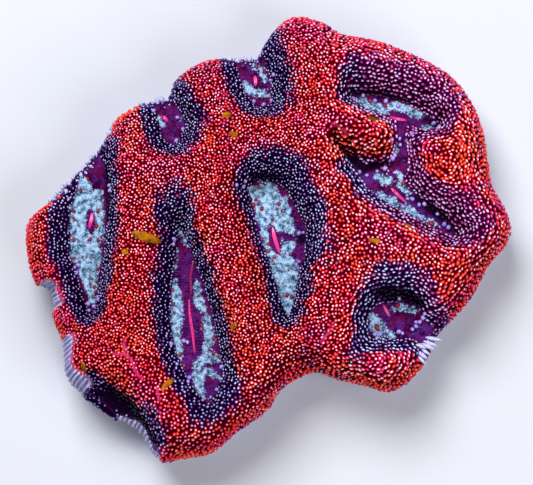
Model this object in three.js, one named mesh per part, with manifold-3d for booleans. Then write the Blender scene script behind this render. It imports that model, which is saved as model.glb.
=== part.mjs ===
import * as THREE from 'three';
import { mergeVertices } from 'three/addons/utils/BufferGeometryUtils.js';
import Module from 'manifold-3d';

// A palm-sized piece of fleshy, wall-and-valley brain coral, broken off its colony.
// It grew as one piece: thick rounded ridges wind between valleys whose floors hold the mouths,
// and the stony foot under the flesh is cut off flat, which is what the piece stands on.
// Millimetres, +Z up, origin on the flat cut under the middle of the piece.

// ---- Driving dimensions ----

const EDGE_HEIGHT = 9;          // height of the widest line of the sides above the cut
const FLOOR_HEIGHT = 12;        // height of a valley floor at the outer edge
const DOME_RISE = 3.5;          // how much higher the middle of the colony stands
const WALL_HEIGHT = 10;         // from a valley floor up to the crest of its ridge
const WALL_WIDTH = 5.2;         // plan width of a wall, from the floor's edge to the crest
const FOOT_SOFTNESS = 1.2;      // 1 is a sharp foot to a wall, more is a rounder one
const CREST_ROUNDNESS = 2.5;    // 1 is a straight slope, more is a fuller, rounder ridge
const FLOOR_DISH = 0.7;         // how deep a floor is dished below its own edge
const RIM_WIDTH = 7.5;          // plan width over which a ridge rolls over into the side
const OPEN_RIM_WIDTH = 2.2;     // the same where a valley runs out through the edge
const LUMP_HEIGHT = 0.7;        // swellings along the crests
const FOOT_INSET = 5;           // how far the foot is drawn in at the flat cut
const FOOT_CURVE = 1.7;         // 1 is a straight cone, more keeps the side upright for longer

// ---- Mesh density ----

const TOP_CELLS = 48;           // grid cells across the top
const SIDE_RINGS = 6;           // rings down the sides
const RIM_SAMPLES = 900;        // steps round the outline when its radius is looked up

// ---- Outline of the colony seen from above, clockwise from its top lobe (x, y) ----

const OUTLINE = [
  [6, 42.7], [11.2, 41.4], [14.5, 39.3], [20.5, 38.1], [27, 35.8], [33, 32.7], [36.2, 30.4],
  [39.5, 26], [41.8, 20], [42.6, 14.7], [43.5, 9.5], [46, 4.8], [47, 1], [46, -1.7], [42.7, -5.6],
  [39.5, -11.6], [36.2, -15.5], [33, -18.8], [30.4, -24.2], [27.7, -27.5], [23.8, -29.8],
  [19, -28.6], [14, -27.5], [9.3, -26], [5.4, -27.5], [2.1, -30], [0, -33.3], [-5.8, -37.5],
  [-11, -41.6], [-17, -42.8], [-20.7, -43.2], [-25, -37.6], [-30.2, -34.7], [-34, -32], [-38.7, -27.5],
  [-39.7, -19.5], [-41, -16.8], [-42.4, -10.3], [-44.7, -8.9], [-46.6, -1.2], [-46.2, 3], [-42, 6.8],
  [-37.3, 12], [-32.7, 17.2], [-28.8, 23.2], [-23.6, 26.2], [-19.5, 26.8], [-17.6, 30.4], [-12.4, 34],
  [-6.6, 34.8], [-2, 34.8], [0, 37.7], [3.3, 41.4],
];

// ---- Valleys ----
// spine: points along the floor with the floor's half width there (x, y, half width). A half width
// below 0 makes the groove shallower there.
// facing, spread: the side on which the wall leans back most (degrees from +X), and by how much.
// lift: how far the floor stands above the others.

const VALLEYS = [
  {
    name: 'left edge, open at its upper end',
    spine: [
      [-36.5, 18.5, 1.8], [-33.6, 14, 2.2], [-33.8, 9.5, 3], [-34.4, 3.3, 3.7], [-34.6, -3.1, 3.3],
      [-34, -9.7, 1.8], [-33.7, -14.5, 0.5],
    ],
    facing: 60,
    spread: 1.5,
    lift: 0,
  },
  {
    name: 'long valley left of the middle',
    spine: [
      [-16.2, 0.4, 0.5], [-15.5, -4.4, 1.7], [-14.9, -9.9, 3.1], [-14.1, -15.7, 4], [-13, -21.5, 4.2],
      [-11.6, -26.3, 3.5], [-11, -29.6, 2.1], [-11, -31.9, 0.5],
    ],
    facing: 95,
    spread: 5,
    lift: 0,
  },
  {
    name: 'middle valley',
    spine: [
      [-1.2, 8.3, 1.9], [1.1, 6.2, 3.8], [3.4, 0.4, 4.5], [4.1, -3.7, 3.6], [4, -7.7, 2.4],
      [4.3, -11.6, 1.5], [4.3, -15.1, 0.4],
    ],
    facing: 60,
    spread: 3,
    lift: 0,
  },
  {
    name: 'top edge, open outwards',
    spine: [[-4.2, 38, 2.3], [-2.8, 33.1, 2.8], [-1.7, 29.4, 2.8], [-0.8, 26.8, 2], [-0.3, 24.9, 0.5]],
    facing: 0,
    spread: 1,
    lift: 0,
  },
  {
    name: 'upper left edge, open outwards',
    spine: [[-22.5, 29.5, 1.4], [-19.5, 24.8, 2.1], [-18.1, 22, 2.4], [-18.1, 19.8, 1.8], [-17.8, 18, 0.5]],
    facing: 0,
    spread: 1,
    lift: 0.5,
  },
  {
    name: 'upper right',
    spine: [[17.2, 26.7, 0.5], [20.1, 25.7, 1.3], [24, 24.4, 1.9], [27.9, 22.8, 1.9], [30.9, 21.7, 1.5],
      [33.1, 21.1, 0.5]],
    facing: 70,
    spread: 4,
    lift: 0,
  },
  {
    name: 'passage between the two right-hand valleys',
    spine: [[26.3, 21.5, 0.8], [26.4, 18, 0.8], [26, 13.5, 1.6], [24.7, 9.1, 1.2]],
    facing: 0,
    spread: 0,
    lift: 2.2,
  },
  {
    name: 'right',
    spine: [
      [12.9, 18.2, -2.2], [15.2, 15.6, -0.8], [17.6, 13.2, 0.8], [21.4, 10.4, 2.3], [25, 8.2, 2.7],
      [29.3, 4.8, 1.8], [33.3, 2.1, 1.3], [36, -0.1, 0.5],
    ],
    facing: 20,
    spread: 4.5,
    lift: 0,
  },
  {
    name: 'lower right, open outwards',
    spine: [
      [20.9, -19, 1.1], [23.1, -16.7, 3.4], [26.7, -16.5, 3.5], [29.8, -18.4, 2.1], [32.4, -20.6, 1.4],
      [36, -23.4, 1.3],
    ],
    facing: 80,
    spread: 2,
    lift: 0.4,
  },
  {
    name: 'lower left, half of it broken away',
    spine: [[-33.2, -29.4, 0], [-30.6, -31.4, 1.1], [-27.7, -33.9, 1.3], [-25, -36.9, 0.9], [-22.4, -40, 0]],
    facing: 40,
    spread: 1,
    lift: -1,
  },
];

// ---- Outline lookup ----

const rimCurve = new THREE.CatmullRomCurve3(
  OUTLINE.map(([x, y]) => new THREE.Vector3(x, y, 0)),
  true,
  'centripetal',
);
const rimPoints = rimCurve.getPoints(RIM_SAMPLES);
const planBox = new THREE.Box3().setFromPoints(rimPoints);
const planCentre = planBox.getCenter(new THREE.Vector3());

const rimPolar = rimPoints
  .slice(0, RIM_SAMPLES)
  .map((point) => ({ angle: Math.atan2(point.y, point.x), radius: Math.hypot(point.x, point.y) }))
  .sort((first, second) => first.angle - second.angle);

// Radius of the outline in the direction of an angle, in radians from -pi to pi.
function rimRadius(angle) {
  let high = rimPolar.findIndex((entry) => entry.angle > angle);
  if (high < 0) high = 0;
  const after = rimPolar[high];
  const before = rimPolar[(high + RIM_SAMPLES - 1) % RIM_SAMPLES];
  const turn = 2 * Math.PI;
  const span = (after.angle - before.angle + turn) % turn;
  const part = (angle - before.angle + turn) % turn;
  return THREE.MathUtils.lerp(before.radius, after.radius, span > 0 ? part / span : 0);
}

// ---- Relief of the top ----

// Distance from a point to the edge of a valley's floor, and the direction it lies in.
function floorDistance(valley, x, y) {
  let nearest = { distance: Infinity, direction: 0 };
  for (let i = 0; i < valley.spine.length - 1; i += 1) {
    const [ax, ay, aHalf] = valley.spine[i];
    const [bx, by, bHalf] = valley.spine[i + 1];
    const length2 = (bx - ax) ** 2 + (by - ay) ** 2;
    const along = THREE.MathUtils.clamp(((x - ax) * (bx - ax) + (y - ay) * (by - ay)) / length2, 0, 1);
    const dx = x - THREE.MathUtils.lerp(ax, bx, along);
    const dy = y - THREE.MathUtils.lerp(ay, by, along);
    const distance = Math.hypot(dx, dy) - THREE.MathUtils.lerp(aHalf, bHalf, along);
    if (distance < nearest.distance) {
      nearest = { distance, direction: Math.atan2(dy, dx) };
    }
  }
  return nearest;
}

// Rise of a wall from its foot (0) to its crest (1): steep low down and rounded at the top.
function wallProfile(part) {
  return 1 - (1 - part ** FOOT_SOFTNESS) ** CREST_ROUNDNESS;
}

// Height of the colony's upper surface, and how much of a ridge stands there (0 on a floor).
function topSurface(x, y, inside, radius) {
  let ridge = 1;
  let lift = 0;
  let dish = 0;
  for (const valley of VALLEYS) {
    const { distance, direction } = floorDistance(valley, x, y);
    const lean = Math.max(0, Math.cos(direction - THREE.MathUtils.degToRad(valley.facing)));
    const width = WALL_WIDTH + valley.spread * lean * lean;
    const rise = wallProfile(THREE.MathUtils.clamp(distance / width, 0, 1));
    ridge *= rise;
    lift += valley.lift * (1 - rise);
    dish = Math.max(dish, THREE.MathUtils.smoothstep(-distance, 0, 3));
  }
  const floor = FLOOR_HEIGHT + DOME_RISE * (1 - inside * inside) + lift * (1 - ridge) - FLOOR_DISH * dish;
  const lump = LUMP_HEIGHT * Math.sin(0.5 * x + 1.4 * Math.sin(0.16 * y)) * Math.sin(0.42 * y + 0.9);
  const height = floor + (WALL_HEIGHT + lump) * ridge;

  const rimWidth = THREE.MathUtils.lerp(OPEN_RIM_WIDTH, RIM_WIDTH, ridge);
  const roll = THREE.MathUtils.clamp(((1 - inside) * radius) / rimWidth, 0, 1);
  return EDGE_HEIGHT + (height - EDGE_HEIGHT) * Math.sqrt(1 - (1 - roll) ** 2);
}

// ---- The solid ----

let wasm;

function toSolid(geometry) {
  geometry.deleteAttribute('normal');
  geometry.deleteAttribute('uv');
  const merged = mergeVertices(geometry, 1e-4);
  const vertProperties = new Float32Array(merged.attributes.position.array);
  const triVerts = new Uint32Array(merged.index.array);
  return new wasm.Manifold(new wasm.Mesh({ numProp: 3, vertProperties, triVerts }));
}

function toGeometry(solid) {
  const mesh = solid.getMesh();
  const geometry = new THREE.BufferGeometry();
  geometry.setAttribute('position', new THREE.BufferAttribute(mesh.vertProperties, 3));
  geometry.setIndex(new THREE.BufferAttribute(mesh.triVerts, 1));
  geometry.computeVertexNormals();
  return geometry;
}

// A gridded box whose top is drawn out to the outline and raised into ridges and valleys,
// and whose sides run down and in to the foot.
function colonyGeometry() {
  const geometry = new THREE.BoxGeometry(2, 2, 2, TOP_CELLS, TOP_CELLS, SIDE_RINGS);
  const position = geometry.attributes.position;
  const belowCut = 2;
  for (let i = 0; i < position.count; i += 1) {
    const a = position.getX(i);
    const b = position.getY(i);
    const level = (position.getZ(i) + 1) / 2;
    const discX = a * Math.sqrt(1 - (b * b) / 2);
    const discY = b * Math.sqrt(1 - (a * a) / 2);
    const inside = Math.min(1, Math.hypot(discX, discY));
    const angle = Math.atan2(discY, discX);
    const radius = rimRadius(angle);
    const drawnIn = FOOT_INSET * (1 - level) ** FOOT_CURVE;
    const reach = inside * (radius - drawnIn);
    const x = reach * Math.cos(angle);
    const y = reach * Math.sin(angle);
    const edge = THREE.MathUtils.lerp(-belowCut, EDGE_HEIGHT, level);
    const z = level === 1 ? topSurface(x, y, inside, radius) : edge;
    position.setXYZ(i, x - planCentre.x, y - planCentre.y, z);
  }
  return geometry;
}

// Everything below the flat cut, taken away.
function cutGeometry() {
  const depth = 40;
  const width = 200;
  const geometry = new THREE.BoxGeometry(width, width, depth);
  geometry.translate(0, 0, -depth / 2);
  return geometry;
}

wasm = await Module();
wasm.setup();

const colonySolid = toSolid(colonyGeometry()).subtract(toSolid(cutGeometry()));

const fleshMaterial = new THREE.MeshStandardMaterial({ color: 0xb3202a, roughness: 0.45, metalness: 0 });
const colony = new THREE.Mesh(toGeometry(colonySolid), fleshMaterial);
colony.name = 'coral_colony';

const brainCoral = new THREE.Group();
brainCoral.add(colony);

export default brainCoral;
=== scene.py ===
import math
from collections import namedtuple

import bmesh
import bpy
import numpy as np
from bpy.props import (
    FloatProperty,
    FloatVectorProperty,
    IntProperty,
    PointerProperty,
)
from mathutils import Matrix, Vector


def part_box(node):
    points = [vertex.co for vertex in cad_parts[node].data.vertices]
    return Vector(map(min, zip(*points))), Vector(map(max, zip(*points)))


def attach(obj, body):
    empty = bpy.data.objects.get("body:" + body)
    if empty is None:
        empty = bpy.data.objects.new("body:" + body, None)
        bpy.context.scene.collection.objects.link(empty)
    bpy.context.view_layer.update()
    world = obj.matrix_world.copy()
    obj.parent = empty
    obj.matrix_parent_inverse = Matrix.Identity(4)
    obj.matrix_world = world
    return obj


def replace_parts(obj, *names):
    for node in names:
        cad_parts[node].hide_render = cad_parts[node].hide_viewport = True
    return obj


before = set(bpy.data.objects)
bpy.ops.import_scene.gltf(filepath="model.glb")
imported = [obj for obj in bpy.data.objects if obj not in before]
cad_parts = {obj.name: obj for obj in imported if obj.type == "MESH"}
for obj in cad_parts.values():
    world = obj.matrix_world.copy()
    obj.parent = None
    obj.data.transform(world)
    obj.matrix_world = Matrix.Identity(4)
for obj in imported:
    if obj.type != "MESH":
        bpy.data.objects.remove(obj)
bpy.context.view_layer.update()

bl_info = {
    "name": "Brain Coral Colony",
    "version": (1, 0, 0),
    "blender": (4, 5, 0),
    "location": "View3D > Sidebar > Coral",
    "description": "Builds a piece of fleshy brain coral round its packed solid",
    "category": "Object",
}

NODE = "coral_colony"
BODY = "root"
MM = 0.001
TURN = 2 * math.pi

RED_FROM = 0.5                  # share of a wall's width at which the redness reaches 1
RED_FROM_LEAN = 0.25            # and how much more where the wall leans back
FLESH_DEPTH = 4.6 * MM          # how far the flesh reaches down below the widest line
RIB_PITCH = 0.55 * MM           # between the violet ribs of the smooth patches
TOP_INSET = 1.7 * MM            # where the grains on top hand over to those of the side
FLESH_EDGE = 0.2 * MM           # half of the change from flesh to bare skeleton
RIM_BAND = (0.2 * MM, 0.9 * MM)  # the pale band along the flesh's edge fades out between these
ALGAE_RISE = 0.45 * MM
CREASE_RISE = 0.25 * MM
GRAIN_SINK = 0.1 * MM           # how deep a grain's flat side sits in the flesh
SIDE_GRAIN_SIZE = 1.25          # of the others' size
SPECK_SIZE = 1.7
SPECK_SHARE = 0.06              # of the floors' grains are large dark specks
TOP_TRIES = 150_000             # random places tried for the grains on top
SIDE_TRIES = 60_000
ROW_WANDER = 0.15 * MM          # how far a grain strays from its row
LIP_HEIGHT = 0.45 * MM          # of a mouth above its valley's floor
SLIT_DEPTH = 0.315 * MM
SLIT_WIDTH = 0.3                # of the mouth's own half width
BEAD_RADII = (0.32 * MM, 0.46 * MM)
BEAD_LIFT = 0.35 * MM           # of a bead's middle above the flesh
RIB_GAP = 0.95 * MM             # between the skeleton's ribs
RIB_HALF_WIDTHS = (0.13 * MM, 0.24 * MM)
RIB_ROOT = -0.9 * MM            # a rib's root and crest, measured outwards from the side
RIB_CREST = 0.05 * MM
FLOOR_REACH = 2.0               # of the stage's floor, each way

# Where the rose of the top lobe, the warmer right-hand side and the duller lower left start and
# end: along Y, along X with a share of Y, and along X + Y
TOP_LOBE = (24 * MM, 42 * MM)
# The warmer right-hand side is partly the walls' own colour and partly painted light, brighter on the side
# the light falls on.
RIGHT_SIDE = (20 * MM, 32 * MM)
RIGHT_SLANT = 0.35
LOWER_LEFT = (-50 * MM, -30 * MM)

# Mottling of the surface: features per metre, and contrast
MOTTLES = {
    "rose blotches": (110, 4.0), "worn tips": (130, 4.0), "warm blotches": (150, 5.0),
    "right side's edge": (160, 3.0), "stains": (260, 2.2), "crest's edge": (420, 2.0),
    "specks": (420, 6.0), "wine": (430, 7.0), "ribs' wander": (500, 3.0), "algae": (700, 3.0),
    "pale floor's edge": (700, 2.0), "algae's edge": (900, 2.0), "pale floor": (1100, 5.0),
    "streaks": (1300, 6.0),
}
SHADOW = (0.004, 0.001, 0.008)  # what the darkest places under a wall tend to
WINE_SHADE = (0.03, 0.0, 0.022)  # the darker mottling of the smooth patches

# ---------------------------------------------------------------------------
# The colony's plan, in millimetres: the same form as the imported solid
# ---------------------------------------------------------------------------

OUTLINE = np.array([
    (6, 42.7), (11.2, 41.4), (14.5, 39.3), (20.5, 38.1), (27, 35.8), (33, 32.7), (36.2, 30.4),
    (39.5, 26), (41.8, 20), (42.6, 14.7), (43.5, 9.5), (46, 4.8), (47, 1), (46, -1.7), (42.7, -5.6),
    (39.5, -11.6), (36.2, -15.5), (33, -18.8), (30.4, -24.2), (27.7, -27.5), (23.8, -29.8),
    (19, -28.6), (14, -27.5), (9.3, -26), (5.4, -27.5), (2.1, -30), (0, -33.3), (-5.8, -37.5),
    (-11, -41.6), (-17, -42.8), (-20.7, -43.2), (-25, -37.6), (-30.2, -34.7), (-34, -32),
    (-38.7, -27.5), (-39.7, -19.5), (-41, -16.8), (-42.4, -10.3), (-44.7, -8.9), (-46.6, -1.2),
    (-46.2, 3), (-42, 6.8), (-37.3, 12), (-32.7, 17.2), (-28.8, 23.2), (-23.6, 26.2), (-19.5, 26.8),
    (-17.6, 30.4), (-12.4, 34), (-6.6, 34.8), (-2, 34.8), (0, 37.7), (3.3, 41.4),
]) * MM

# spine: (x, y, half width of the floor), where a half width below 0 makes the groove shallower;
# facing, spread: the side on which the wall leans back most, in degrees from +X, and by how much;
# lift: how far the floor stands above the others.
Valley = namedtuple("Valley", "spine facing spread lift")
VALLEYS = {
    "left": Valley(
        [(-36.5, 18.5, 1.8), (-33.6, 14, 2.2), (-33.8, 9.5, 3), (-34.4, 3.3, 3.7), (-34.6, -3.1, 3.3),
         (-34, -9.7, 1.8), (-33.7, -14.5, 0.5)], 60, 1.5, 0),
    "long": Valley(
        [(-16.2, 0.4, 0.5), (-15.5, -4.4, 1.7), (-14.9, -9.9, 3.1), (-14.1, -15.7, 4), (-13, -21.5, 4.2),
         (-11.6, -26.3, 3.5), (-11, -29.6, 2.1), (-11, -31.9, 0.5)], 95, 5, 0),
    "middle": Valley(
        [(-1.2, 8.3, 1.9), (1.1, 6.2, 3.8), (3.4, 0.4, 4.5), (4.1, -3.7, 3.6), (4, -7.7, 2.4),
         (4.3, -11.6, 1.5), (4.3, -15.1, 0.4)], 60, 3, 0),
    "top": Valley(
        [(-4.2, 38, 2.3), (-2.8, 33.1, 2.8), (-1.7, 29.4, 2.8), (-0.8, 26.8, 2), (-0.3, 24.9, 0.5)],
        0, 1, 0),
    "upper_left": Valley(
        [(-22.5, 29.5, 1.4), (-19.5, 24.8, 2.1), (-18.1, 22, 2.4), (-18.1, 19.8, 1.8), (-17.8, 18, 0.5)],
        0, 1, 0.5),
    "upper_right": Valley(
        [(17.2, 26.7, 0.5), (20.1, 25.7, 1.3), (24, 24.4, 1.9), (27.9, 22.8, 1.9), (30.9, 21.7, 1.5),
         (33.1, 21.1, 0.5)], 70, 4, 0),
    "passage": Valley([(26.3, 21.5, 0.8), (26.4, 18, 0.8), (26, 13.5, 1.6), (24.7, 9.1, 1.2)], 0, 0, 2.2),
    "right": Valley(
        [(12.9, 18.2, -2.2), (15.2, 15.6, -0.8), (17.6, 13.2, 0.8), (21.4, 10.4, 2.3), (25, 8.2, 2.7),
         (29.3, 4.8, 1.8), (33.3, 2.1, 1.3), (36, -0.1, 0.5)], 20, 4.5, 0),
    "lower_right": Valley(
        [(20.9, -19, 1.1), (23.1, -16.7, 3.4), (26.7, -16.5, 3.5), (29.8, -18.4, 2.1),
         (32.4, -20.6, 1.4), (36, -23.4, 1.3)], 80, 2, 0.4),
    "lower_left": Valley(
        [(-33.2, -29.4, 0), (-30.6, -31.4, 1.1), (-27.7, -33.9, 1.3), (-25, -36.9, 0.9),
         (-22.4, -40, 0)], 40, 1, -1),
}

# Turquoise stretches of the floors: (x, y, half width) along each
PALE_STRIPS = [
    [(-35.6, 11, 1.0), (-35.2, 6, 2.6), (-35, 1, 3.4), (-35, -3, 2.9), (-34.3, -7, 1.8), (-33.6, -12, 0.5)],
    [(-32.8, 8.5, 0.8), (-32.2, 5, 0.7), (-32.4, 0, 0.9), (-32.8, -5, 0.7)],
    [(-17, 1.2, 0.25), (-15.9, 0.2, 0.35), (-15, -1.2, 0.3)],
    [(-17.5, -2.8, 0.5), (-18, -6.6, 0.6)],
    [(-17.6, -9.5, 0.8), (-17.2, -13, 1.2), (-17.4, -17, 1.4), (-17.6, -20, 1.2), (-16.9, -23, 0.7),
     (-16.3, -25.3, 0.3)],
    [(-13.2, -9, 0.3), (-12.8, -12.5, 0.9), (-11.6, -15, 0.5), (-11, -18, 1.1), (-10.8, -20.5, 1.0),
     (-11.4, -22.3, 0.6)],
    [(-12.5, -24.2, 1.0), (-10, -23.5, 0.8), (-8.6, -23.7, 0.7)],
    [(-13.2, -25, 0.9), (-12, -26, 1.0), (-10.6, -26.3, 0.7), (-9, -27.4, 0.3)],
    [(-13.1, -27, 0.7), (-12.7, -29.5, 0.9), (-11.8, -31.4, 0.4)],
    [(-2.6, 8.2, 1.2), (1, 8.2, 1.4)],
    [(0, 7.5, 2.4), (1.5, 4.5, 3.4), (2.5, 1, 3.2), (3, -4, 2.6), (4.2, -8, 2.5), (4.4, -12, 1.5),
     (4.3, -15, 0.5)],
    [(-4.3, 29.6, 0.5), (-2.8, 28, 0.9), (0, 27.6, 0.6), (1, 27, 0.4)],
    [(-2.4, 33.5, 0.6), (-0.6, 32, 0.6), (-0.2, 30, 0.3)],
    [(-20.8, 22.8, 0.5), (-20.5, 21.6, 0.8)],
    [(17.6, 26.1, 0.6), (20, 25.3, 1.1), (22.6, 24.2, 0.9), (23.4, 23.8, 0.5)],
    [(24.2, 24.8, 0.9), (26, 25, 1.1), (28.5, 24, 1.2), (31, 23.4, 0.6)],
    [(31, 20.6, 0.6), (33, 20.2, 0.5)],
    [(24.7, 21, 0.4), (24.6, 19.5, 0.4)],
    [(21.6, 11, 0.6), (23.2, 10.3, 1.0), (24.3, 9.6, 0.4)],
    [(25.6, 11.6, 0.3), (26.6, 9, 0.5), (27.4, 7.6, 0.5)],
    [(20.6, 7.8, 0.4), (22.5, 7.1, 0.7), (24.6, 6.2, 0.8), (25.6, 5.5, 0.4)],
    [(26.8, 5.2, 0.6), (28.8, 3.9, 0.5), (31.5, 2.6, 0.5), (33, 1.7, 0.4)],
    [(20.4, -15.6, 0.4), (21.4, -17.4, 1.6), (22.2, -18.4, 1.5), (24.4, -19.4, 0.5)],
    [(24.6, -14.2, 0.4), (26.6, -14.1, 0.7), (28.6, -14.9, 0.5)],
]

# Smooth purple-brown patches that interrupt them: (x, y, half length, half width, turn in degrees)
WINE_PATCHES = [
    (-34, 3, 2.6, 1.0, -85), (1.9, -1, 3.0, 1.1, -75), (4.2, -0.5, 1.6, 0.9, -20),
    (6.9, -3.3, 1.8, 1.5, 20), (26.2, -16.9, 2.9, 2.0, 5), (-32.9, 12, 2.4, 1.2, -80),
]

# Places under an overhanging wall that hardly any light reaches: (x, y, half width) along each
DARK_STRIPS = [
    [(16.5, 27.4, 0.3), (20, 27.6, 0.5), (23.5, 27.0, 0.5), (27.5, 25.7, 0.4)],
    [(13.5, 17.6, 0.3), (17, 14.3, 0.9), (19, 12.6, 0.9), (21.5, 13.2, 0.5), (24.2, 13.4, 0.5)],
    [(28.8, 7.2, 0.5), (31, 5.5, 1.0), (33.4, 3.8, 1.0), (35.8, 1.3, 0.7)],
    [(21.8, -11.5, 0.8), (24.5, -11.4, 1.3), (27.5, -12.1, 1.2), (30.0, -13.3, 0.7)],
    [(-29.8, -29.4, 0.7), (-26.2, -32.3, 1.2), (-23.4, -36.9, 1.1), (-20.8, -39.8, 0.7)],
    [(-32.6, -30, 0.5), (-30.4, -31.4, 1.3), (-28, -33.6, 1.4), (-25, -36.9, 0.8), (-22.5, -39.8, 0.4)],
    [(-2.4, 11, 0.3), (0, 11.2, 0.6), (2.6, 10.9, 0.4)],
    [(6.6, 0.2, 0.7), (7.2, -1.1, 0.8)],
    [(-30.9, 13, 0.5), (-30.2, 8, 0.6), (-30.4, 3, 0.4)],
    [(-9.7, -13.6, 0.4), (-9.3, -14.8, 0.4)],
    [(30.8, 22.6, 0.3), (32.6, 21.4, 0.7)],
]

# Grown-over spots, golden olive: (x, y, half length, half width, turn in degrees)
ALGAE_PATCHES = [
    (-22.0, -1.2, 2.9, 0.85, -17), (-25.9, -4.0, 0.65, 0.55, 0), (-6.7, 22.1, 0.9, 0.6, 0),
    (-5.4, 18.3, 0.5, 0.9, 60), (21.1, 21.6, 1.2, 0.6, -10), (-34.1, -25.7, 0.4, 1.2, 10),
    (-18.0, -28.9, 1.6, 0.5, 45), (27.6, 0.9, 0.9, 0.5, -25), (-5.3, -18.1, 0.8, 0.5, 30),
    (21.3, -2.1, 1.2, 0.5, -10),
]

# Shallow pink creases in the crests: (x, y) along each
CREASES = [
    [(-28.2, -23.2), (-25.9, -23.3), (-24.6, -24.5), (-23.7, -26.9), (-22.6, -28.1)],
    [(-26.1, -20.6), (-25.9, -23.3)],
    [(-20.0, -29.5), (-19.6, -31.8)],
    [(11.2, -21.2), (12.6, -19.2), (13.6, -17.6)],
    [(13.4, 20.3), (14.6, 19.9), (16.2, 18.3)],
]

# Where the red reaches further down a wall (above 0) or stays higher up (below 0): the oval
# patch as above, and by how much
RED_SHIFTS = [
    ((16.6, 18.7, 9.5, 4.2, -8), 1.3), ((33.4, 13.1, 4.5, 3.2, -40), 0.7),
    ((-27.5, -28.6, 6.5, 2.2, -45), 0.7), ((11.0, 0.5, 9, 2.4, -72), -0.25),
    ((26.5, -8.2, 6, 2.4, -15), -0.4), ((-8.6, -32.2, 6.5, 3.2, 45), -0.6),
    ((18.0, -22.4, 3.2, 2.0, 60), -0.45), ((-2.2, -3.4, 10, 1.9, -76), 0.55),
    ((-40.5, 1, 7, 1.6, 80), -0.3),
]

# Mouths, each a slit along a few points (x, y) with its half width and how pink it is
Mouth = namedtuple("Mouth", "path half_width pink")
MOUTHS = [
    Mouth([(-33.7, 4.8), (-33.9, 3.2), (-34.3, 1.5)], 0.42, 1.0),
    Mouth([(-13.8, -4.8), (-14.4, -8.0), (-14.3, -11.6)], 0.28, 0.25),
    Mouth([(-14.7, -12.2), (-14.6, -15), (-14.0, -19.0), (-13.6, -23)], 0.3, 0.8),
    Mouth([(1.4, 1.5), (1.9, -0.8), (2.8, -3.6)], 0.42, 1.0),
    Mouth([(-2.2, 31.4), (-2.0, 30.4), (-2.0, 29.2)], 0.4, 1.0),
    Mouth([(-20.0, 23.5), (-19.5, 22.9), (-19.0, 22.3)], 0.38, 1.0),
    Mouth([(23.9, 22.7), (25.4, 22.1), (27.4, 21.8)], 0.34, 1.0),
    Mouth([(24.2, 8.8), (25.6, 7.4), (27.3, 6.0)], 0.36, 0.8),
    Mouth([(22.6, -13.4), (23.2, -14.6), (23.9, -15.8)], 0.34, 0.8),
]

# Swollen tentacle tips along the foot of the walls: (x, y)
BEADS = [
    (16.9, 26.4), (18.9, 27.0), (21.2, 26.0), (23.3, 25.9), (25.6, 24.9), (32.5, 21.5), (33.6, 20.8),
    (28.4, 19.0), (26.0, 18.2), (24.5, 17.8), (18.2, 12.0), (19.6, 11.4), (21.6, 12.1), (23.1, 12.5),
    (24.6, 14.4), (25.0, 15.0), (26.1, 17.0), (28.3, 6.8), (29.6, 5.7), (30.6, 5.8), (33.1, 3.9),
    (34.4, 1.9), (35.2, 1.3), (26.5, 5.3), (21.0, -19.2), (22.1, -19.2), (23.4, -18.6), (21.5, -20.0),
    (25.6, -18.7), (26.3, -19.0), (28.2, -18.2), (28.9, -17.6), (29.6, -16.8), (30.2, -16.0),
    (30.6, -15.3), (28.9, -16.8), (25.7, -12.4), (-17.4, -1.0), (-17.5, -1.9), (-14.8, -2.2),
    (-12.3, -10.8), (-16.0, -14.5), (-15.7, -20.3), (-15.0, -20.6), (-18.0, -21.0), (-14.6, -27.4),
    (-14.8, -28.2), (-10.5, -31.2), (-8.4, -25.4), (-9.3, -29.7), (-16.9, -24.9), (-32.3, -11.8),
    (-32.0, -12.4), (-33.2, -13.6), (-34.3, -13.1), (-34.2, -14.4), (-36.6, -7.0), (-37.0, -6.0),
    (-38.1, 7.2), (-38.0, 5.5), (-29.7, 8.5), (-30.0, 9.6), (-36.3, -5.6), (-4.0, 8.9), (-3.6, 10.0),
    (-5.0, 8.9), (6.6, 0.2), (7.4, 0.3), (6.6, -5.3), (1.0, 30.1), (-3.1, 27.5), (-0.3, 25.3),
    (1.3, 26.0), (1.8, 30.8), (-2.2, 26.0), (-17.1, 23.0), (-17.2, 18.4), (-15.9, 20.6), (-21.8, 24.4),
]

# Where the flesh has drawn back and left bare skeleton: (middle angle, half angle, drawn back by)
BARE_STRETCHES = [(195.6, 4.6, 2.6), (214, 8, 3.2), (237.5, 8.5, 1.3), (143, 9, 0.6)]

# Broken septa where the flesh has torn: base and tip (x, y), half width
TORN_TEETH = [
    ((30.6, -19.7), (33.9, -20.3), 0.42), ((30.2, -20.4), (33.0, -21.4), 0.36),
    ((29.8, -20.9), (32.5, -22.1), 0.45), ((29.6, -21.8), (31.6, -23.2), 0.38),
    ((29.3, -22.6), (31.0, -24.0), 0.45), ((29.2, -23.4), (30.8, -25.1), 0.34),
    ((28.9, -21.2), (30.9, -21.9), 0.5),
]

# Rows of short knobs along torn margins: from and to (x, y), how many, which way they point in
# degrees from +X, length, half width
KnobRow = namedtuple("KnobRow", "start end count turn length half_width")
KNOB_ROWS = [
    KnobRow((-6.9, 34.1), (-2.2, 34.3), 6, 92, 1.3, 0.55),
    KnobRow((-23.8, 25.3), (-20.0, 26.2), 5, 118, 1.4, 0.55),
    KnobRow((-41.4, 6.9), (-33.4, 16), 13, 135, 1.1, 0.42),
    KnobRow((-40.2, 6.6), (-34.2, 13.6), 8, 120, 0.8, 0.36),
    KnobRow((-32.6, 17.0), (-29.2, 21.6), 6, 150, 0.8, 0.34),
]


def linear(red, green, blue):
    """A colour as seen, as the linear numbers a shader takes."""
    return tuple(c / 12.92 if c <= 0.04045 else ((c + 0.055) / 1.055) ** 2.4 for c in (red, green, blue))


# ---------------------------------------------------------------------------
# Sizes and colours that a user may change
# ---------------------------------------------------------------------------

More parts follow.
